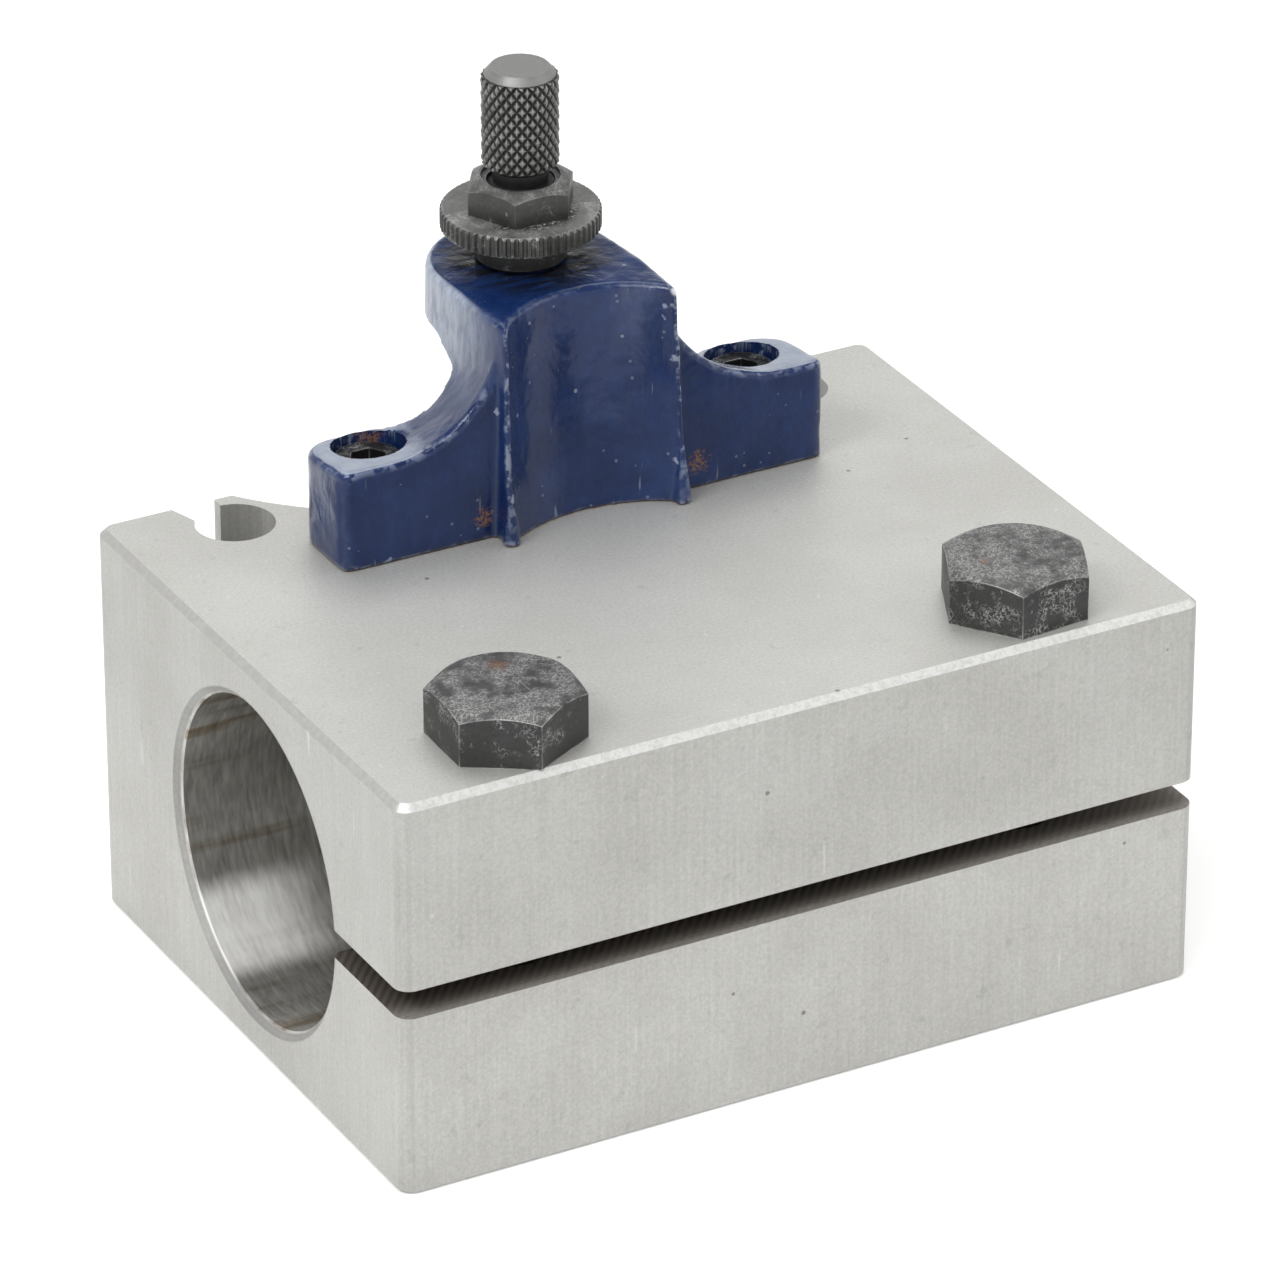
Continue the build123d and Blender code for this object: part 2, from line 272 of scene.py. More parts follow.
# Where each cut of the block lies: its sides, chamfers, bore and saw cut.
from_middle = maths(tree, "ABSOLUTE", x)
upness = maths(tree, "ABSOLUTE", facing["Z"])
upright = rise(tree, upness, 0.3, 0.1)
bevelled = times(tree, rise(tree, upness, 0.5, 0.6), rise(tree, upness, 0.9, 0.8))
dy = less(tree, y, bore_y)
dz = less(tree, z, bore_z)
reach = distance(tree, dy, dz)
in_bore = rise(tree, reach, bore_radius + 0.25 * mm, bore_radius + 0.15 * mm)
between_jaws = rise(tree, maths(tree, "ABSOLUTE", dz), cut_half + 0.04 * mm, cut_half + 0.02 * mm)
in_cut = times(tree, between_jaws, rise(tree, dy, -bore_radius * 0.98, -bore_radius * 0.995))

# The ground faces: fine grain, upright grinding lines, pits and dents, and painted shade that darkens the
# sides more towards the top, standing for the floor's bounce light low down.
clouds = noise(tree, here, 55, 4.0, 0.6)
grain = noise(tree, here, 2600, 3.0, 0.65)
lines = noise(tree, stretched(tree, here, (1, 1, 0.03)), 1900, 3.0, 0.65)
pits = most(tree, flecks(tree, here, 210, 0.075, 0.2), flecks(tree, here, 90, 0.035, 0.2))
scores = noise(tree, stretched(tree, here, (1, 0.6, 0.07), (0.5, 0.7, 0.4)), 1000, 1.0)
dents = most(tree, flecks(tree, here, 230, 0.06, 0.10), rise(tree, scores, 0.74, 0.80))
blots = rise(tree, noise(tree, here, 420, 3.0, 0.6), 0.62, 0.75)
colour = blend(tree, rise(tree, clouds, 0.3, 0.7), steel_pale, steel_dull)
line_ends = {0: upright, 2: 1.0, 3: scaled(tree, lines, 0.88, 1.12)}
side_lines = add(tree, "ShaderNodeMix", line_ends).outputs[0]
colour = tinted(tree, colour, times(tree, scaled(tree, grain, 0.74, 1.26), side_lines))
# Painted shade: the upright faces are darkened, least near the floor and most towards the top.
floor_bounce_shade = scaled(tree, rise(tree, z, bounce_shade_low, bounce_shade_high), 0.08, 0.17)
colour = darkened(tree, colour, upright, floor_bounce_shade)
colour = darkened(tree, colour, blots, 0.12)
colour = blend(tree, times(tree, pits, 0.7), colour, pit_colour)
colour = blend(tree, times(tree, dents, 0.35), colour, worn_and_highlight_white)

# The chamfers facing the front are painted bright as a painted highlight and the others dull as painted
# shade, in patches, and the rounded corners are a little duller.
frontness = rise(tree, facing["Y"], -0.3, -0.6)
# Painted highlight and shade: each chamfer's tone is chosen by which way it faces.
chamfer_light_and_shade = blend(tree, frontness, chamfer_shade_grey, worn_and_highlight_white)
patchy = rise(tree, noise(tree, here, 1300, 4.0, 0.7), 0.35, 0.6)
chamfer_light_share = times(tree, bevelled, scaled(tree, patchy, 0.35, 0.85))
colour = blend(tree, chamfer_light_share, colour, chamfer_light_and_shade)
corner = maths(tree, "ABSOLUTE", times(tree, facing["X"], facing["Y"]))
corner = times(tree, rise(tree, corner, 0.15, 0.3), less(tree, 1.0, scaled(tree, lines, 0.5, 1.0)))
colour = darkened(tree, colour, corner, 0.3)

# The bore: turning marks and broad brown rings, and a painted highlight, white and less metallic, low down
# at each mouth where the left lamp's light falls.
turning_marks = noise(tree, stretched(tree, here, (1, 0.18, 0.18)), 1900, 2.0, 0.6)
broad_rings = noise(tree, stretched(tree, here, (0.12, 1, 1)), 260, 3.0)
low_wall = plus(tree, times(tree, dy, 0.61), times(tree, dz, -0.79))
# Painted highlight: a pale band low in the bore near each mouth, streaked by the turning marks.
painted_bore_highlight = rise(tree, low_wall, bore_radius * 0.93, bore_radius * 0.985)
painted_bore_highlight = times(tree, painted_bore_highlight, rise(tree, from_middle, bore_highlight_from_x, bore_highlight_full_x))
painted_bore_highlight = times(tree, times(tree, painted_bore_highlight, in_bore), scaled(tree, turning_marks, 0.6, 1.1))
bore_colour = blend(tree, rise(tree, broad_rings, 0.52, 0.72), steel_dull, stain_brown)
bore_colour = tinted(tree, bore_colour, scaled(tree, turning_marks, 0.35, 1.65))
bore_colour = blend(tree, times(tree, painted_bore_highlight, 0.9), bore_colour, bore_highlight_white)
colour = blend(tree, in_bore, colour, bore_colour)
mouth_edge = bore_radius + mouth_chamfer
mouth = times(
    tree,
    rise(tree, reach, mouth_edge + 0.15 * mm, mouth_edge),
    rise(tree, reach, bore_radius + 0.2 * mm, bore_radius + 0.3 * mm),
)
mouth = times(tree, mouth, rise(tree, from_middle, block_end_x - 1.1 * mm, block_end_x - 1.0 * mm))
mouth_rings = scaled(tree, rings(tree, reach, 2500, 1.0), 0.0, 0.55)
colour = darkened(tree, colour, mouth, mouth_rings)

# The saw cut: scalloped by the blade, dark brown with old oil and painted shade, and painted paler where
# light gets in.
scallop_inputs = {
    "Vector": stretched(tree, here, (1, 1, 1), (0, 0, 0.7)),
    "Scale": 330.0,
    "Distortion": 1.5,
    "Detail": 2.0,
}
scallops = add(tree, "ShaderNodeTexWave", scallop_inputs).outputs["Fac"]
# Painted shade and oil: the inside of the cut is dark brown.
cut_colour = tinted(tree, oil_and_shade_brown, scaled(tree, scallops, 0.6, 1.4))
near_lip = rise(tree, y, -34 * mm, -38.6 * mm)
near_end = times(tree, rise(tree, x, 30 * mm, 50 * mm), 0.6)
open_share = times(tree, most(tree, near_lip, near_end), scaled(tree, grain, 0.3, 1.0))
cut_colour = blend(tree, open_share, cut_colour, open_brown)
colour = blend(tree, times(tree, in_cut, 0.95), colour, cut_colour)

rough = plus(tree, 0.46, scaled(tree, clouds, -0.04, 0.06))
rough = plus(tree, rough, scaled(tree, grain, -0.06, 0.06))
rough = less(tree, rough, times(tree, in_bore, 0.14))
rough = plus(tree, rough, times(tree, in_cut, 0.2))
metal = plus(tree, 0.55, times(tree, in_bore, 0.3))
# The painted highlight is made less metallic, so that the lamps light it.
metal = less(tree, metal, times(tree, painted_bore_highlight, 0.65))
surface = plus(tree, times(tree, lines, upright), times(tree, grain, 0.8))
surface = plus(tree, surface, times(tree, turning_marks, times(tree, in_bore, 2.5)))
surface = less(tree, surface, times(tree, pits, 2.0))
bump = add(tree, "ShaderNodeBump", {"Height": surface, "Distance": 0.015 * mm, "Strength": 0.5})
finish_material(
    tree,
    {"Base Color": colour, "Metallic": metal, "Roughness": rough, "Normal": bump.outputs[0]},
)
for slot in nodes["holder_block"].material_slots:
    slot.material = steel


# The bracket: an iron casting, fettled by hand and dipped in thick blue enamel, which
# rounds every edge and leaves the skin a little lumpy. Two screws hold it to the block.
def select_only(piece):
    """Selects one object and makes it active."""
    bpy.ops.object.select_all(action="DESELECT")
    piece.select_set(True)
    bpy.context.view_layer.objects.active = piece


def apply_modifier(piece, kind, **settings):
    """Adds a modifier with the given settings and applies it."""
    select_only(piece)
    modifier = piece.modifiers.new(kind.lower(), kind)
    for key, value in settings.items():
        setattr(modifier, key, value)
    bpy.ops.object.modifier_apply(modifier=modifier.name)


def merged_copy(node_name, name):
    """A new object from a CAD node's mesh, its loose triangles merged."""
    mesh = nodes[node_name].data.copy()
    mesh.materials.clear()
    piece = bpy.data.objects.new(name, mesh)
    bpy.context.scene.collection.objects.link(piece)
    select_only(piece)
    bpy.ops.object.mode_set(mode="EDIT")
    bpy.ops.mesh.select_all(action="SELECT")
    bpy.ops.mesh.remove_doubles(threshold=0.001 * mm)
    bpy.ops.object.mode_set(mode="OBJECT")
    bpy.ops.mesh.customdata_custom_splitnormals_clear()
    return piece


def settle(piece):
    """Puts a finished object's place and turn into its mesh."""
    select_only(piece)
    bpy.ops.object.transform_apply(location=True, rotation=True, scale=True)


def select_faces(piece, test):
    """In edit mode, selects the faces that pass a test, and nothing else."""
    bpy.ops.object.mode_set(mode="OBJECT")
    for part in (piece.data.vertices, piece.data.edges, piece.data.polygons):
        for item in part:
            item.select = False
    for face in piece.data.polygons:
        face.select = test(face)
    bpy.ops.object.mode_set(mode="EDIT")


def round_bar(name, x, y, low, high, radius, sides=64, top_bevel=0.0, low_bevel=0.0):
    """An upright bar with its end edges turned off at 45 degrees."""
    straight = high - low - top_bevel - low_bevel
    middle = low + low_bevel + straight / 2
    bpy.ops.mesh.primitive_cylinder_add(
        vertices=sides, radius=radius, depth=straight, location=(x, y, middle)
    )
    bar = bpy.context.object
    bar.name = name
    bpy.ops.object.mode_set(mode="EDIT")
    bpy.ops.mesh.select_mode(type="FACE")
    for bevel, side in ((top_bevel, 1), (low_bevel, -1)):
        if bevel:
            select_faces(bar, lambda face: face.normal.z * side > 0.9)
            bpy.ops.mesh.inset(thickness=bevel, depth=bevel)
    bpy.ops.object.mode_set(mode="OBJECT")
    settle(bar)
    return bar


def combine(piece, other, operation):
    """Cuts, joins or meets one solid with another, which is used up."""
    apply_modifier(piece, "BOOLEAN", object=other, operation=operation, solver="EXACT")
    bpy.data.objects.remove(other)


screw_x = -0.4 * mm
screw_y = 29.3 * mm
counterbore_x = 24.8 * mm
counterbore_y = 21.4 * mm
counterbore_floor = 55.2 * mm
counterbore_radius = 4.45 * mm
counterbore_shift = 0.1 * mm
plug_radius = 4.7 * mm
lug_front_y = 13.7 * mm
lug_front_top = 62.7 * mm
lug_slope = Vector((0, 1.4, 12.5)).normalized()
toe_x = 11.4 * mm
toe_y = 11.3 * mm
toe_radius = 1.15 * mm
toe_tip_radius = 0.3 * mm
toe_height = 7.0 * mm
enamel_voxel = 0.36 * mm
lump_size = 4.0 * mm
lump_height = 0.2 * mm
deep_blue = (0.004, 0.017, 0.075, 1)
thin_blue = (0.010, 0.030, 0.115, 1)
glint_blue = (0.40, 0.46, 0.58, 1)
# Pale grey-blue for real scuffs, specks and chips, and for the painted sheen.
pale_scuff_and_sheen = (0.34, 0.385, 0.46, 1)
rust_brown = (0.24, 0.11, 0.04, 1)
base_brown = (0.075, 0.045, 0.026, 1)
worn_white = (0.6, 0.62, 0.64, 1)
soot_black = (0.004, 0.005, 0.008, 1)
rust_spots = (((-13.7, 13.7, 53.0), 1.5), ((14.7, 13.7, 53.4), 1.7), ((-22.8, 25.0, 60.6), 2.0))
soot_place = (screw_x / mm, 29.0, 77.4)
worn_corner = (11.2, 12.4, 77.1)

# The counterbores are filled before the enamel is put on, and drilled again after it,
# so that their rims stay sharp.
bracket = merged_copy("height_bracket", "enamelled_bracket")
for place in (-counterbore_x, counterbore_x):
    plug = round_bar("plug", place, counterbore_y, block_top + 0.2 * mm, lug_front_top, plug_radius)
    bpy.ops.object.mode_set(mode="EDIT")
    bpy.ops.mesh.select_all(action="SELECT")
    bpy.ops.mesh.bisect(
        plane_co=(0, lug_front_y, lug_front_top - 0.02 * mm), plane_no=lug_slope,
        clear_outer=True, use_fill=True,
    )
    bpy.ops.object.mode_set(mode="OBJECT")
    combine(bracket, plug, "UNION")
for side in (-1, 1):
    bpy.ops.mesh.primitive_cone_add(
        vertices=32, radius1=toe_radius, radius2=toe_tip_radius, depth=toe_height,
        location=(side * toe_x, toe_y, block_top + toe_height / 2 + 0.02 * mm),
    )
    toe = bpy.context.object
    settle(toe)
    combine(bracket, toe, "UNION")
apply_modifier(bracket, "REMESH", mode="VOXEL", voxel_size=enamel_voxel, use_smooth_shade=True)
apply_modifier(bracket, "SMOOTH", factor=0.5, iterations=4)
lumps = bpy.data.textures.new("casting_lumps", "CLOUDS")
lumps.noise_scale = lump_size
lumps.noise_depth = 2
apply_modifier(
    bracket, "DISPLACE", texture=lumps, texture_coords="LOCAL", strength=lump_height, mid_level=0.55
)
for place in (-counterbore_x, counterbore_x):
    drill_y = counterbore_y - counterbore_shift
    drill = round_bar("drill", place, drill_y, counterbore_floor, lug_front_top + mm, counterbore_radius)
    combine(bracket, drill, "DIFFERENCE")

enamel, tree = new_material("blue_enamel")
coords = add(tree, "ShaderNodeTexCoord")
here = coords.outputs["Object"]
x, y, z = add(tree, "ShaderNodeSeparateXYZ", {0: here}).outputs
facing = add(tree, "ShaderNodeSeparateXYZ", {0: coords.outputs["Normal"]}).outputs

# Thick and thin enamel over a wrinkled casting, with painted shade darkening its hollows and creases.
clouds = noise(tree, here, 130, 4.0, 0.6)
peel = noise(tree, here, 900, 2.0, 0.5)
bumps = noise(tree, here, 420, 3.0, 0.6)
wrinkles = noise(tree, stretched(tree, here, (1, 1, 0.35)), 800, 3.0, 0.6)
speckle = noise(tree, here, 2600, 2.0, 0.7)
sharpness = add(tree, "ShaderNodeNewGeometry").outputs["Pointiness"]
crease_shade = rise(tree, sharpness, 0.485, 0.44)
colour = blend(tree, rise(tree, clouds, 0.3, 0.75), deep_blue, thin_blue)
mottle = times(tree, scaled(tree, wrinkles, 0.7, 1.3), scaled(tree, speckle, 0.7, 1.3))
colour = tinted(tree, colour, mottle)
# Painted shade: the hollows, where the surface curves inward, are darkened.
colour = darkened(tree, colour, crease_shade, 0.6)

# Dust and a painted sheen make the left-leaning faces of the nose and the tops of the lugs pale, where the
# left lamp and the bright top are reflected.
leftness = less(tree, times(tree, facing["Y"], 0.12), times(tree, facing["X"], 0.94))
dust_and_sheen = times(tree, rise(tree, leftness, 0.15, 0.5), scaled(tree, rise(tree, wrinkles, 0.3, 0.65), 0.5, 1.0))
on_nose = times(tree, rise(tree, z, 65 * mm, 72 * mm), rise(tree, y, 13 * mm, 25 * mm))
dust_and_sheen = times(tree, dust_and_sheen, on_nose)
lug_tops = times(tree, rise(tree, facing["Z"], 0.9, 0.97), rise(tree, z, 65 * mm, 64 * mm))
dust_and_sheen = plus(tree, dust_and_sheen, times(tree, lug_tops, scaled(tree, bumps, 0.4, 0.9)))
# Painted sheen and dust: left-leaning faces on the nose and the lug tops are blended towards pale
# grey-blue.
colour = blend(tree, dust_and_sheen, colour, pale_scuff_and_sheen)

# Specks, hairline scratches and chips, and painted highlights along the sharp edges.
front = rise(tree, facing["Y"], -0.5, -0.8)
dust = flecks(tree, here, 900, 0.22, 0.12)
chips = flecks(tree, here, 330, 0.10, 0.12)
hairs = noise(tree, stretched(tree, here, (1, 1, 0.10), (0, 0.6, 0)), 900, 2.0)
marks = most(tree, times(tree, dust, 0.8), rise(tree, hairs, 0.70, 0.76))
# Painted highlight: sharp edges, where the pointiness is high, are lightened in a broken line.
edge_glints = times(tree, rise(tree, sharpness, 0.51, 0.56), rise(tree, peel, 0.45, 0.6))
colour = blend(tree, times(tree, times(tree, marks, front), 0.35), colour, pale_scuff_and_sheen)
colour = blend(tree, times(tree, chips, 0.5), colour, pale_scuff_and_sheen)
colour = blend(tree, times(tree, edge_glints, 0.55), colour, glint_blue)

# Black strokes beside the hub, a brown foot, rust, and one corner worn to white.
brush_strokes = noise(tree, stretched(tree, here, (0.2, 1, 1), (0, 0, 0.5)), 800, 2.0)
top_plate = rise(tree, z, 76.9 * mm, 77.2 * mm)
beside_hub = times(tree, top_plate, near(tree, here, soot_place, 13.0, 0.3))
colour = blend(tree, times(tree, beside_hub, rise(tree, brush_strokes, 0.40, 0.52)), colour, soot_black)
at_foot = rise(tree, z, block_top + 0.45 * mm, block_top + 0.1 * mm)
colour = blend(tree, times(tree, at_foot, 0.85), colour, base_brown)
for place, radius in rust_spots:
    stain = times(tree, near(tree, here, place, radius, 0.9), rise(tree, speckle, 0.42, 0.58))
    colour = blend(tree, times(tree, stain, 0.8), colour, rust_brown)
colour = blend(tree, near(tree, here, worn_corner, 1.1, 0.25), colour, worn_white)

rough = plus(tree, 0.16, scaled(tree, clouds, 0.0, 0.12))
rough = plus(tree, rough, times(tree, marks, 0.25))
rough = plus(tree, rough, times(tree, dust_and_sheen, 0.2))
surface = plus(tree, peel, times(tree, noise(tree, here, 260, 2.0), 2.2))
surface = plus(tree, surface, wrinkles)
surface = less(tree, surface, chips)
bump = add(tree, "ShaderNodeBump", {"Height": surface, "Distance": 0.08 * mm, "Strength": 0.6})
glance = add(tree, "ShaderNodeLayerWeight", {"Blend": 0.5}).outputs["Facing"]
finish_material(
    tree,
    {
        "Base Color": colour,
        "Roughness": rough,
        "Specular IOR Level": 0.45,
        "Coat Weight": times(tree, rise(tree, glance, 0.45, 0.7), 0.45),
        "Coat IOR": 1.5,
        "Coat Roughness": 0.15,
        "Normal": bump.outputs[0],
        "Coat Normal": bump.outputs[0],
    },
)
bracket.data.materials.append(enamel)
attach(bracket, "holder")
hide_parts("height_bracket")


# The bracket screws: socket heads with a straight knurl round the rim, blackened,
# sunk in the counterbores of the lugs and screwed into the block.
bracket_screw_places = {"bracket_screw_left": -counterbore_x, "bracket_screw_right": counterbore_x}
socket_head_radius = 4.25 * mm
socket_head_height = 5.0 * mm
socket_head_flutes = 40
socket_flute_depth = 0.12 * mm
socket_head_bevel = 0.3 * mm
socket_flats = 4.0 * mm
socket_depth = 2.5 * mm
m5_radius = 2.5 * mm
m5_pitch = 0.8 * mm
m5_end = 39.2 * mm
m5_tip = 0.5 * mm


def threaded_bar(name, x, y, low, high, radius, pitch, tip):
    """A screw thread between two heights, its lower end turned off at 45 degrees."""
    root = radius - 0.6 * pitch
    start = low - 2 * pitch
    turns = int((high - start) / pitch) + 2
    bpy.ops.mesh.primitive_plane_add(size=pitch, location=(0, 0, start))
    bar = bpy.context.object
    bar.name = name
    bpy.ops.object.mode_set(mode="EDIT")
    bpy.ops.mesh.select_mode(type="VERT")
    bpy.ops.mesh.merge(type="CENTER")
    bpy.ops.transform.translate(value=(root, 0, 0))
    outward = (radius - root, 0, pitch * 0.40)
    crest = (0, 0, pitch * 0.10)
    inward = (root - radius, 0, pitch * 0.40)
    for step in (outward, crest, inward, crest):
        bpy.ops.mesh.extrude_vertices_move(TRANSFORM_OT_translate={"value": step})
    bpy.ops.object.mode_set(mode="OBJECT")
    apply_modifier(
        bar, "SCREW", angle=2 * pi, screw_offset=pitch, iterations=turns, steps=32,
        render_steps=32, use_merge_vertices=True, merge_threshold=0.0001 * mm,
    )
    bpy.ops.object.mode_set(mode="EDIT")
    bpy.ops.mesh.select_all(action="SELECT")
    bpy.ops.mesh.remove_doubles(threshold=0.001 * mm)
    for level, outer in ((high, True), (low, False)):
        bpy.ops.mesh.select_all(action="SELECT")
        bpy.ops.mesh.bisect(
            plane_co=(0, 0, level), plane_no=(0, 0, 1), use_fill=True,
            clear_outer=outer, clear_inner=not outer,
        )
    bpy.ops.mesh.select_all(action="SELECT")
    bpy.ops.mesh.normals_make_consistent(inside=False)
    bpy.ops.object.mode_set(mode="OBJECT")
    settle(bar)
    combine(bar, round_bar("tip", 0, 0, low, high + pitch, radius, 32, 0.0, tip), "INTERSECT")
    bar.location = (x, y, 0)
    settle(bar)
    return bar


def fluted_bar(name, x, y, low, high, radius, count, depth, bevel):
    """A short bar with flutes cut straight down its side and its end edges turned off."""
    bpy.ops.mesh.primitive_cylinder_add(
        vertices=4 * count, radius=radius, depth=high - low, location=(x, y, (low + high) / 2)
    )
    bar = bpy.context.object
    bar.name = name
    bpy.ops.object.mode_set(mode="EDIT")
    bpy.ops.mesh.select_mode(type="VERT")
    bpy.ops.mesh.select_all(action="DESELECT")
    bpy.ops.object.mode_set(mode="OBJECT")
    for corner in bar.data.vertices:
        corner.select = corner.index // 2 % 4 < 2
    bpy.ops.object.mode_set(mode="EDIT")
    shrink = (radius - depth) / radius
    bpy.ops.transform.resize(value=(shrink, shrink, 1), center_override=(x, y, 0))
    bpy.ops.object.mode_set(mode="OBJECT")
    settle(bar)
    blank = round_bar("blank", x, y, low, high, radius + 0.03 * mm, 96, bevel, bevel)
    combine(bar, blank, "INTERSECT")
    return bar


def hexagon_bar(name, x, y, low, high, flats, turn):
    """A hexagon bar, turned so that one corner lies at the given angle from +X."""
    bpy.ops.mesh.primitive_cylinder_add(
        vertices=6, radius=flats / sqrt(3), depth=high - low,
        location=(x, y, (low + high) / 2), rotation=(0, 0, radians(turn - 30)),
    )
    bar = bpy.context.object
    bar.name = name
    settle(bar)
    return bar


def soften(piece, width):
    """Breaks the sharp edges and shades the rest smooth."""
    apply_modifier(
        piece, "BEVEL", width=width, segments=2, limit_method="ANGLE", angle_limit=radians(25)
    )
    select_only(piece)
    bpy.ops.object.shade_smooth_by_angle(angle=radians(40))


def steel_grey(level):
    """A grey with the least touch of warmth."""
    return (level, level, level * 0.98, 1)


def dark_steel(
    name, tone, fleck_level, edge_wear_and_highlight_level, fleck_share, rust=(), scratch_turn=0.4,
    side_shade_level=1.0, polish=0.0, valley_radius=0.0, worn_top=0.0, oily_radius=0.0,
):
    """Blackened or phosphated steel: mottled, flecked, scratched, bright at its edges from wear and a
    painted highlight, and, by the side level, darker on its sides as painted shade.

    The last three are for pieces round the height screw: black valleys inside a radius
    with a turned top above them, and a ring of wet oil in front with painted glints in it.
    """
    material, tree = new_material(name)
    coords = add(tree, "ShaderNodeTexCoord")
    here = coords.outputs["Object"]
    x, y, z = add(tree, "ShaderNodeSeparateXYZ", {0: here}).outputs
    facing = add(tree, "ShaderNodeSeparateXYZ", {0: coords.outputs["Normal"]}).outputs
    clouds = noise(tree, here, 260, 4.0, 0.6)
    grain = noise(tree, here, 1800, 3.0, 0.6)
    upward = rise(tree, facing["Z"], 0.5, 0.8)

    # Pale flecks that wind like worms, smudges and scratches, mostly on top.
    patches = noise(tree, here, 330, 3.0, 0.65)
    crowd = plus(tree, patches, scaled(tree, upward, -0.06, 0.05))
    crowd = plus(tree, crowd, 0.25 * fleck_share)
    winding = maths(tree, "ABSOLUTE", less(tree, noise(tree, here, 1700, 3.0, 0.6), 0.5))
    worms = times(tree, rise(tree, winding, 0.05, 0.0), rise(tree, crowd, 0.50, 0.72))
    smudges = rise(tree, plus(tree, crowd, scaled(tree, grain, -0.12, 0.12)), 0.45, 0.75)
    smudges = times(tree, smudges, upward)
    streaks = noise(tree, stretched(tree, here, (1, 0.04, 0.3), (0, 0, scratch_turn)), 2600, 1.0)
    scratches = rise(tree, streaks, 0.72, 0.78)
    light = most(tree, times(tree, worms, 0.9), times(tree, scratches, 0.4))

    # Edges are where the rounded normal turns away from the flat one. They are lightened as wear and as a
    # painted highlight, more where they lean up towards the lamps.
    soft = add(tree, "ShaderNodeBevel", {"Radius": 0.25 * mm}, samples=6).outputs[0]
    flat = add(tree, "ShaderNodeNewGeometry").outputs["Normal"]
    both = {0: soft, 1: flat}
    turn = add(tree, "ShaderNodeVectorMath", both, operation="DOT_PRODUCT").outputs["Value"]
    edge = times(tree, rise(tree, turn, 0.995, 0.93), rise(tree, clouds, 0.35, 0.6))
    lean = maths(tree, "ABSOLUTE", add(tree, "ShaderNodeSeparateXYZ", {0: soft}).outputs["Z"])
    edge = times(tree, edge, scaled(tree, rise(tree, lean, 0.05, 0.25), 0.3, 1.0))

    shade = times(tree, scaled(tree, clouds, 0.5, 1.5), scaled(tree, grain, 0.6, 1.4))
    # Painted shade: faces that do not look up are darkened by the side level.
    shade = times(tree, shade, scaled(tree, upward, side_shade_level, 1.0))
    colour = tinted(tree, (*tone, 1), shade)
    colour = blend(tree, times(tree, smudges, 0.2), colour, steel_grey(fleck_level))
    colour = blend(tree, light, colour, steel_grey(fleck_level))
    # Painted highlight and wear: the edges are blended towards pale grey.
    colour = blend(tree, times(tree, edge, 0.8), colour, steel_grey(edge_wear_and_highlight_level))
    for place, radius in rust:
        patch = times(tree, near(tree, here, place, radius, 0.9), 0.4)
        colour = blend(tree, patch, colour, wrench_rust)
    dx = less(tree, x, screw_x)
    dy = less(tree, y, screw_y)
    reach = distance(tree, dx, dy)
    if oily_radius:
        glint_specks = rise(tree, noise(tree, here, 2600, 2.0, 0.7), 0.56, 0.64)
        ring = rise(tree, reach, oily_radius, oily_radius - 1.3 * mm)
        oily = times(tree, ring, rise(tree, dy, -3 * mm, -4.5 * mm))
        wet = times(tree, oily, upward)
        colour = blend(tree, times(tree, wet, 0.75), colour, oil_black)
        # Painted highlight: small white glints in the oil.
        colour = blend(tree, times(tree, wet, glint_specks), colour, painted_oil_glint)
    if valley_radius:
        valley = rise(tree, reach, valley_radius, valley_radius - 0.15 * mm)
        valley = times(tree, valley, rise(tree, z, worn_top + 0.1 * mm, worn_top - 0.05 * mm))
        colour = blend(tree, times(tree, valley, 0.9), colour, valley_black)
        turned = scaled(tree, rings(tree, reach, 3500, 2.0), 0.75, 1.25)
        tops = rise(tree, z, worn_top, worn_top + 0.1 * mm)
        colour = blend(tree, tops, colour, tinted(tree, turned_grey, turned))
    rough = plus(tree, 0.42 - polish, scaled(tree, clouds, -0.08, 0.14))
    rough = less(tree, rough, times(tree, edge, 0.12))
    metal = 0.4 + polish
    surface = plus(tree, grain, times(tree, clouds, 1.5))
    surface = less(tree, surface, times(tree, light, 0.8))
    bump = add(tree, "ShaderNodeBump", {"Height": surface, "Distance": 0.03 * mm, "Strength": 0.6})
    finish_material(
        tree,
        {"Base Color": colour, "Metallic": metal, "Roughness": rough, "Normal": bump.outputs[0]},
    )
    return material


screw_black = dark_steel("screw_black_oxide", (0.025, 0.025, 0.026), 0.4, 0.8, 0.0, polish=0.2)
socket_head_top = counterbore_floor + socket_head_height
for node_name, place in bracket_screw_places.items():
    screw = fluted_bar(
        node_name + "_piece", place, counterbore_y, counterbore_floor, socket_head_top,
        socket_head_radius, socket_head_flutes, socket_flute_depth, socket_head_bevel,
    )
    socket = hexagon_bar(
        "socket", place, counterbore_y, socket_head_top - socket_depth, socket_head_top + mm,
        socket_flats, 0,
    )
    combine(screw, socket, "DIFFERENCE")
    soften(screw, 0.06 * mm)
    shank = threaded_bar(
        "shank", place, counterbore_y, m5_end, counterbore_floor + 0.3 * mm, m5_radius, m5_pitch, m5_tip
    )
    combine(screw, shank, "UNION")
    screw.data.materials.append(screw_black)
    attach(screw, "holder")
    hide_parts(node_name)


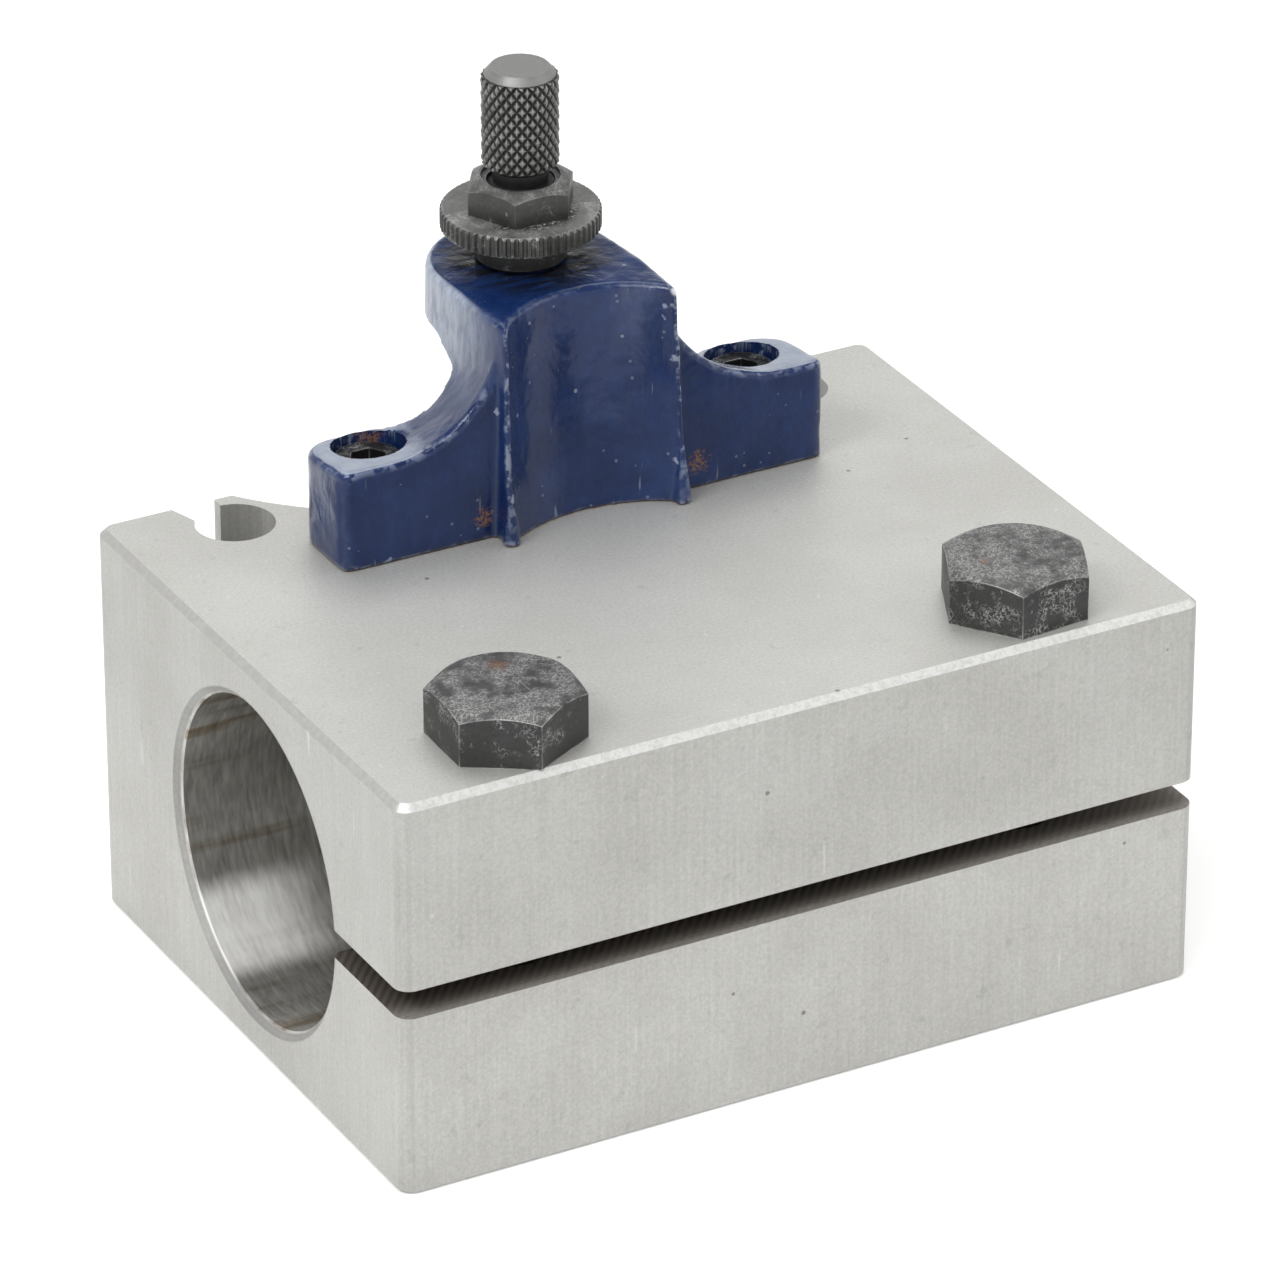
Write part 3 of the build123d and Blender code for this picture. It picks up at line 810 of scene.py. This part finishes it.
# The height screw: turned from bar, phosphated and left oily. Its diamond-knurled
# head is worn bright on top, its thread runs in the bracket's nose.
foot_low = 60.4 * mm
foot_high = 63.4 * mm
foot_radius = 2.8 * mm
foot_bevel = 0.3 * mm
thread_low = 61.9 * mm
thread_top = 87.2 * mm
thread_radius = 4.0 * mm
thread_tip = 0.9 * mm
m8_pitch = 1.25 * mm
neck_radius = 3.3 * mm
head_low = 88.9 * mm
head_high = 101.5 * mm
low_chamfer = 0.4 * mm
top_chamfer = 0.72 * mm
top_chamfer_drop = 0.85 * mm
knurl_floor = 4.24 * mm
knurl_depth = 0.36 * mm
knurl_slope = 0.37 * mm
knurl_columns = 22
knurl_rows = 7
knurl_valleys = 4.45 * mm
valley_black = (0.006, 0.006, 0.006, 1)
turned_grey = (0.22, 0.22, 0.212, 1)
bpy.ops.object.select_all(action="DESELECT")
wall_low = head_low + low_chamfer
wall_high = head_high - top_chamfer_drop
bpy.ops.mesh.primitive_cylinder_add(
    vertices=knurl_columns, radius=knurl_floor, depth=wall_high - wall_low,
    location=(screw_x, screw_y, (wall_low + wall_high) / 2),
)
knob = bpy.context.object
knob.name = "knurled_height_screw"
settle(knob)

# Each panel of the wall is poked into four, and the triangles join across the
# panels' sides into diamonds, which are then raised one by one.
bpy.ops.object.mode_set(mode="EDIT")
bpy.ops.mesh.select_mode(type="EDGE")
bpy.ops.mesh.select_all(action="DESELECT")
bpy.ops.object.mode_set(mode="OBJECT")
points = knob.data.vertices
for edge in knob.data.edges:
    first, second = (points[index].co for index in edge.vertices)
    edge.select = abs(first.z - second.z) > mm
bpy.ops.object.mode_set(mode="EDIT")
bpy.ops.mesh.subdivide(number_cuts=knurl_rows - 1)
bpy.ops.mesh.select_mode(type="FACE")
select_faces(knob, lambda face: abs(face.normal.z) < 0.5)
bpy.ops.mesh.poke()
bpy.ops.mesh.select_mode(type="EDGE")
bpy.ops.mesh.select_all(action="DESELECT")
bpy.ops.object.mode_set(mode="OBJECT")
points = knob.data.vertices
for edge in knob.data.edges:
    first, second = (points[index].co for index in edge.vertices)
    climb = abs(first.z - second.z)
    upright_edge = climb > 0.99 * (first - second).length
    inner_ring = climb < 0.001 * mm and wall_low + 0.1 * mm < first.z < wall_high - 0.1 * mm
    edge.select = upright_edge or inner_ring
bpy.ops.object.mode_set(mode="EDIT")
bpy.ops.mesh.dissolve_edges(use_verts=False)
bpy.ops.mesh.select_mode(type="FACE")
select_faces(knob, lambda face: abs(face.normal.z) < 0.5)
bpy.ops.mesh.inset(thickness=knurl_slope, depth=knurl_depth, use_individual=True)
for side, bevel, drop in ((1, top_chamfer, top_chamfer_drop), (-1, low_chamfer, low_chamfer)):
    select_faces(knob, lambda face: face.normal.z * side > 0.9)
    bpy.ops.mesh.inset(thickness=bevel, depth=drop)
bpy.ops.object.mode_set(mode="OBJECT")
neck = round_bar("neck", screw_x, screw_y, thread_top - mm, head_low + mm, neck_radius)
combine(knob, neck, "UNION")
thread = threaded_bar(
    "thread", screw_x, screw_y, thread_low, thread_top, thread_radius, m8_pitch, thread_tip
)
combine(knob, thread, "UNION")
foot = round_bar("foot", screw_x, screw_y, foot_low, foot_high, foot_radius, 48, 0.0, foot_bevel)
combine(knob, foot, "UNION")
select_only(knob)
bpy.ops.object.shade_smooth_by_angle(angle=radians(28))
knob_steel = dark_steel(
    "knob_steel", (0.16, 0.16, 0.153), 0.5, 0.5, 0.1,
    valley_radius=knurl_valleys, worn_top=head_high - 0.9 * mm,
)
knob.data.materials.append(knob_steel)
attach(knob, "height_screw")
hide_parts("height_screw")


# The knurled nut: a thin disc with a fluted rim on a round hub, phosphated; its sides and
# hub are painted darker than the disc's top as painted shade, and wet oil with painted glints lies on its
# top in front.
bracket_top = 77.4 * mm
disc_low = 81.1 * mm
disc_high = 83.7 * mm
disc_radius = 9.5 * mm
disc_bevel = 0.3 * mm
disc_flutes = 60
disc_flute_depth = 0.35 * mm
hub_radius = 5.45 * mm
hub_bevel = 0.3 * mm
thread_clearance = 0.05 * mm
oily_ring = 7.6 * mm
oil_black = (0.02, 0.02, 0.02, 1)
painted_oil_glint = (0.75, 0.75, 0.73, 1)
knurled = fluted_bar(
    "fluted_disc_nut", screw_x, screw_y, disc_low, disc_high, disc_radius, disc_flutes,
    disc_flute_depth, disc_bevel,
)
soften(knurled, 0.07 * mm)
hub = round_bar("hub", screw_x, screw_y, bracket_top, disc_low + mm, hub_radius, 96, 0.0, hub_bevel)
combine(knurled, hub, "UNION")
hole_radius = thread_radius + thread_clearance
hole = round_bar("hole", screw_x, screw_y, bracket_top - mm, disc_high + mm, hole_radius)
combine(knurled, hole, "DIFFERENCE")
# Painted shade: the disc's sides and hub are darker than its top.
disc_steel = dark_steel(
    "disc_steel", (0.14, 0.14, 0.134), 0.45, 0.35, 0.1, side_shade_level=0.3, oily_radius=oily_ring
)
knurled.data.materials.append(disc_steel)
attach(knurled, "knurled_nut")
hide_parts("knurled_nut")


# The lock nut: a thin hexagon nut, phosphated, with its top corners turned off to a
# cone and a shallow recess round the thread. It jams on the knurled nut.
lock_nut_high = 87.7 * mm
lock_nut_flats = 11.7 * mm
lock_nut_crown = 10.0 * mm
lock_nut_turn = 57.0
recess_floor = 87.2 * mm
recess_radius = 4.7 * mm


def crowned_hexagon(name, x, y, low, high, flats, crown, turn):
    """A hexagon whose top corners are turned off to a cone at 30 degrees."""
    corner = flats / sqrt(3)
    slope = corner - crown / 2
    drop = slope * tan(radians(30))
    piece = hexagon_bar(name, x, y, low, high, flats, turn)
    bpy.ops.mesh.primitive_cylinder_add(
        vertices=128, radius=corner, depth=high - low - drop + mm,
        location=(x, y, (high - drop + low - mm) / 2),
    )
    cone = bpy.context.object
    bpy.ops.object.mode_set(mode="EDIT")
    bpy.ops.mesh.select_mode(type="FACE")
    select_faces(cone, lambda face: face.normal.z > 0.9)
    bpy.ops.mesh.inset(thickness=slope, depth=drop)
    bpy.ops.object.mode_set(mode="OBJECT")
    settle(cone)
    combine(piece, cone, "INTERSECT")
    return piece


lock_nut = crowned_hexagon(
    "thin_lock_nut", screw_x, screw_y, disc_high, lock_nut_high, lock_nut_flats, lock_nut_crown,
    lock_nut_turn,
)
recess = round_bar("recess", screw_x, screw_y, recess_floor, lock_nut_high + mm, recess_radius)
combine(lock_nut, recess, "DIFFERENCE")
hole = round_bar("hole", screw_x, screw_y, disc_high - mm, lock_nut_high + mm, hole_radius)
combine(lock_nut, hole, "DIFFERENCE")
soften(lock_nut, 0.1 * mm)
# Painted shade: the nut's sides are darker than its top.
nut_steel = dark_steel("nut_steel", (0.10, 0.10, 0.097), 0.4, 0.35, 0.0, side_shade_level=0.6)
lock_nut.data.materials.append(nut_steel)
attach(lock_nut, "lock_nut")
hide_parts("lock_nut")


# The clamp bolts: hexagon heads with full threads, black oxide rubbed bright at the edges with a painted
# highlight, sides darker as painted shade, rusty where the wrench has bitten. They pull the two jaws
# together.
clamp_bolts = {
    "clamp_bolt_left": (-33.5 * mm, 28.0, 0.3, (((-32.2, -24.9, 56.4), 1.5), ((-40.5, -31.0, 54.0), 1.2))),
    "clamp_bolt_right": (32.5 * mm, 5.0, 0.45, (((28.4, -29.4, 56.4), 0.8), ((25.6, -37.0, 54.4), 0.8))),
}
clamp_bolt_y = -29.3 * mm
clamp_bolt_end = 10 * mm
clamp_head_top = 56.4 * mm
clamp_head_flats = 16.0 * mm
clamp_head_crown = 15.2 * mm
m10_radius = 5.0 * mm
m10_pitch = 1.5 * mm
m10_tip = 1.0 * mm
oxide_black = (0.062, 0.062, 0.061)
wrench_rust = (0.24, 0.11, 0.05, 1)
for node_name, (place, turn, share, rust) in clamp_bolts.items():
    bolt = crowned_hexagon(
        node_name + "_piece", place, clamp_bolt_y, block_top, clamp_head_top, clamp_head_flats,
        clamp_head_crown, turn,
    )
    soften(bolt, 0.16 * mm)
    shank = threaded_bar(
        "shank", place, clamp_bolt_y, clamp_bolt_end, block_top + 0.5 * mm, m10_radius, m10_pitch,
        m10_tip,
    )
    combine(bolt, shank, "UNION")
    # Painted shade on the bolt's sides, by the side level.
    oxide = dark_steel(
        node_name + "_oxide", oxide_black, 0.42, 0.75, share, rust, radians(turn), side_shade_level=0.6
    )
    bolt.data.materials.append(oxide)
    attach(bolt, node_name)
    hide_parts(node_name)
